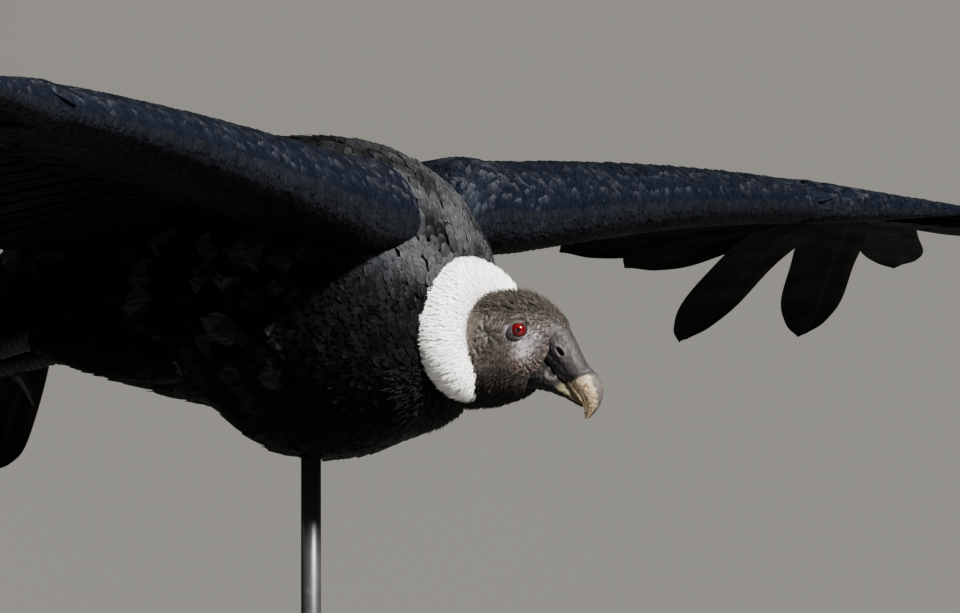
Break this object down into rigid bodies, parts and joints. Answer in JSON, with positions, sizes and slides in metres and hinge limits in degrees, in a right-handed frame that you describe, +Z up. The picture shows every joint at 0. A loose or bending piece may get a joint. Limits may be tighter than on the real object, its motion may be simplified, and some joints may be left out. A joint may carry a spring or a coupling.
{
  "type": "andean condor, adult female in flight, life-size still model on a stand",
  "caption": "Life-size Andean condor gliding with spread wings, fanned tail and white neck ruff, held by a rod on a flat round base.",
  "frame": {"origin": "centre of the underside of the stand's round base", "axes": "+Z up; the bird faces -Y, its left wing towards +X and its right wing towards -X"},
  "size_m": [2.667, 0.9274, 0.9065],
  "materials": {
    "plumage": "satin black with a faint blue sheen",
    "ruff": "soft white down",
    "skin": "wrinkled bare skin, dark grey brown",
    "bill": "dark horn at the base, ivory at the tip",
    "foot": "grey scaled skin",
    "claw": "dark horn",
    "eye": "glossy, red iris and black pupil",
    "stand": "satin black"
  },
  "bodies": {
    "root": {"trunk": "plumage", "neck": "skin", "ruff": "ruff", "head": "skin", "bill_upper": "bill", "bill_lower": "bill", "tail": "plumage", "eye_left": "eye", "eye_right": "eye", "wing_left_upper_arm": "plumage", "wing_left_forearm": "plumage", "wing_left_hand": "plumage", "thigh_left": "plumage", "foot_left": "foot", "claw_left_inner": "claw", "claw_left_middle": "claw", "claw_left_outer": "claw", "claw_left_hind": "claw", "wing_right_upper_arm": "plumage", "wing_right_forearm": "plumage", "wing_right_hand": "plumage", "thigh_right": "plumage", "foot_right": "foot", "claw_right_inner": "claw", "claw_right_middle": "claw", "claw_right_outer": "claw", "claw_right_hind": "claw", "stand_base": "stand", "stand_rod": "stand"}
  },
  "joints": []
}
